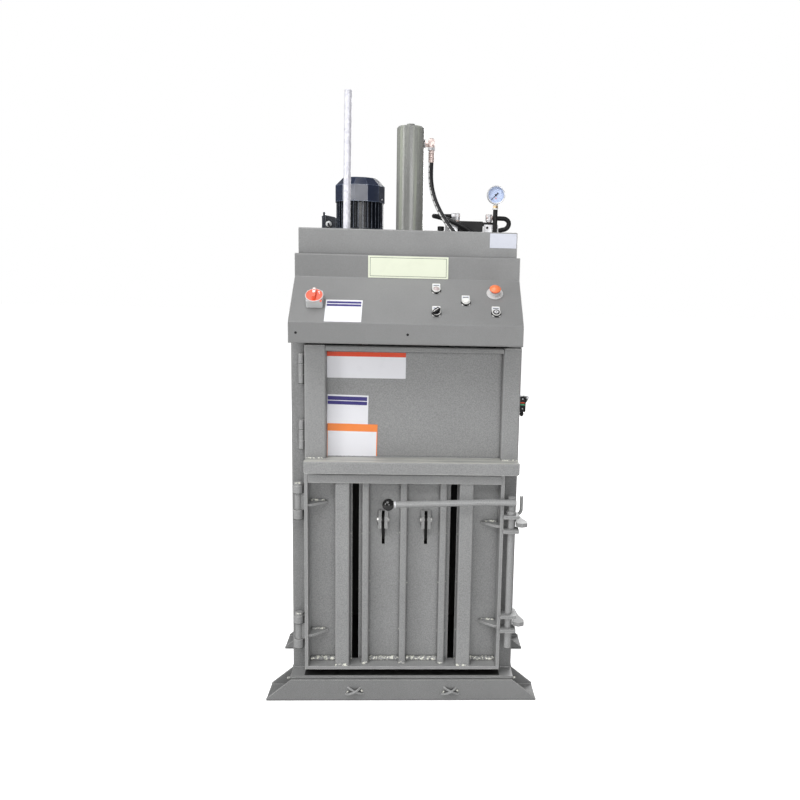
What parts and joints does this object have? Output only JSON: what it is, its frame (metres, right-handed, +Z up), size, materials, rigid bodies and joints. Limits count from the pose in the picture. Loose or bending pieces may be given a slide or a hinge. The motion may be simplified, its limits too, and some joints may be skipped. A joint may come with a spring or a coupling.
{
  "type": "upright recycling baler",
  "caption": "Upright recycling baler: steel frame on skid feet, feed door over a ribbed bale door with a lever latch, sloping control panel, ram cylinder and motor on top.",
  "frame": {"origin": "centre of the footprint, on the floor under the feet", "axes": "+X to the operator's right, +Y from the doors to the rear wall, +Z up along the ram's cylinder"},
  "size_m": [1.05, 0.687, 2.3001],
  "materials": {
    "grey_paint": "satin enamel, light wear",
    "bare_steel": "worn bare steel",
    "dark_steel": "dark burnished steel",
    "plated_steel": "ground and hard plated",
    "galvanised_steel": "galvanised, spangled",
    "motor_paint": "dark enamel",
    "cowl_plastic": "moulded, fine grain",
    "black_plastic": "moulded",
    "black_rubber": "fabric-marked hose cover",
    "bezel_metal": "matt plated",
    "grey_plastic": "moulded, semi-gloss",
    "clear_lens": "translucent lens",
    "white_plastic": "moulded, gloss",
    "red_plastic": "moulded, gloss",
    "orange_plastic": "moulded, gloss",
    "knob_black": "phenolic, polished",
    "gauge_face": "enamelled case and dial",
    "needle_black": "matt",
    "plated_fittings": "zinc plated"
  },
  "bodies": {
    "frame": {"feet": "grey_paint", "strap_cleats": "bare_steel", "base_plate": "grey_paint", "corner_posts": "grey_paint", "side_walls": "grey_paint", "wall_channels": "grey_paint", "rear_wall": "grey_paint", "head_panels": "grey_paint", "deck_plate": "grey_paint", "cylinder_mount": "grey_paint", "cylinder_barrel": "grey_paint", "post_knuckles": "grey_paint", "hinge_pins": "bare_steel", "hook_plates": "grey_paint", "console": "grey_paint", "device_bezels": "bezel_metal", "lamp_lens": "clear_lens", "device_plates": "grey_plastic", "limit_switch": "black_plastic", "motor_body": "motor_paint", "motor_cowl": "cowl_plastic", "terminal_box": "motor_paint", "oil_tank": "grey_paint", "valve_block": "black_plastic", "filler_cap": "black_plastic", "main_hose": "black_rubber", "loop_hose": "black_rubber", "motor_cable": "black_rubber", "hose_fittings": "plated_fittings", "gauge_pipe": "black_rubber", "gauge_stem": "plated_fittings", "gauge_case": "gauge_face", "conduit_pipe": "galvanised_steel"},
    "upper_door": {"upper_door_frame": "grey_paint", "upper_door_panel": "grey_paint", "door_lip": "grey_paint", "upper_door_knuckles": "grey_paint"},
    "lower_door": {"lower_door_frame": "grey_paint", "lower_door_panels": "grey_paint", "door_ribs": "grey_paint", "door_brackets": "grey_paint", "lower_door_knuckles": "grey_paint", "clevis_plates": "grey_paint", "claw_bolts": "bare_steel"},
    "latch": {"latch_shaft": "bare_steel", "latch_lever": "grey_paint", "lever_knob": "knob_black"},
    "left_claw": {"left_claw": "dark_steel"},
    "right_claw": {"right_claw": "dark_steel"},
    "ram": {"piston_rod": "plated_steel", "platen": "grey_paint"},
    "push_button": {"push_button": "white_plastic"},
    "selector_knob": {"selector_knob": "black_plastic"},
    "key_barrel": {"key_barrel": "black_plastic"},
    "stop_mushroom": {"stop_mushroom": "orange_plastic"},
    "isolator_handle": {"isolator_handle": "red_plastic"},
    "gauge_needle": {"gauge_needle": "needle_black"},
    "limit_lever": {"limit_lever": "plated_fittings"},
    "rotor": {"rotor_shaft": "dark_steel", "cooling_fan": "black_plastic"}
  },
  "joints": [
    {"name": "upper_door_hinge", "type": "hinge", "parent": "frame", "child": "upper_door", "pos_m": [-0.3906, -0.1615, 1.166], "axis": [0, 0, -1], "range_deg": [0, 110]},
    {"name": "lower_door_hinge", "type": "hinge", "parent": "frame", "child": "lower_door", "pos_m": [-0.404, -0.1715, 0.529], "axis": [0, 0, -1], "range_deg": [0, 110]},
    {"name": "latch_turn", "type": "hinge", "parent": "lower_door", "child": "latch", "pos_m": [0.4065, -0.2025, 0.52], "axis": [0, 0, 1], "range_deg": [0, 90]},
    {"name": "left_claw_pivot", "type": "hinge", "parent": "lower_door", "child": "left_claw", "pos_m": [-0.08199, -0.1705, 0.718], "axis": [-1, 0, 0], "range_deg": [0, 42], "stiffness_Nm_per_rad": 2, "springref_deg": -11.46},
    {"name": "right_claw_pivot", "type": "hinge", "parent": "lower_door", "child": "right_claw", "pos_m": [0.08199, -0.1705, 0.718], "axis": [-1, 0, 0], "range_deg": [0, 42], "stiffness_Nm_per_rad": 2, "springref_deg": -11.46},
    {"name": "ram_slide", "type": "slide", "parent": "frame", "child": "ram", "axis": [0, 0, -1], "range_m": [0, 0.56]},
    {"name": "push_button_press", "type": "slide", "parent": "frame", "child": "push_button", "axis": [0, 0.686, -0.7276], "range_m": [0, 0.004], "stiffness_N_per_m": 400, "springref_m": -0.003},
    {"name": "selector_turn", "type": "hinge", "parent": "frame", "child": "selector_knob", "pos_m": [0.1035, -0.30411, 1.51164], "axis": [0, -0.686, 0.7276], "range_deg": [0, 90]},
    {"name": "key_turn", "type": "hinge", "parent": "frame", "child": "key_barrel", "pos_m": [0.315, -0.3012, 1.51438], "axis": [0, -0.686, 0.7276], "range_deg": [0, 60]},
    {"name": "stop_press", "type": "slide", "parent": "frame", "child": "stop_mushroom", "axis": [0, 0.686, -0.7276], "range_m": [0, 0.006]},
    {"name": "isolator_turn", "type": "hinge", "parent": "frame", "child": "isolator_handle", "pos_m": [-0.325, -0.27136, 1.54251], "axis": [0, -0.686, 0.7276], "range_deg": [0, 90]},
    {"name": "gauge_needle_turn", "type": "hinge", "parent": "frame", "child": "gauge_needle", "pos_m": [0.333, 0.0335, 1.96], "axis": [0, 1, 0], "range_deg": [0, 270]},
    {"name": "limit_lever_swing", "type": "hinge", "parent": "frame", "child": "limit_lever", "pos_m": [0.4624, -0.1065, 1.178], "axis": [-1, 0, 0], "range_deg": [0, 30], "stiffness_Nm_per_rad": 0.05, "springref_deg": -17.19},
    {"name": "rotor_spin", "type": "hinge", "parent": "frame", "child": "rotor", "pos_m": [-0.201, 0.1635, 1.9], "axis": [0, 0, 1], "continuous": true}
  ]
}
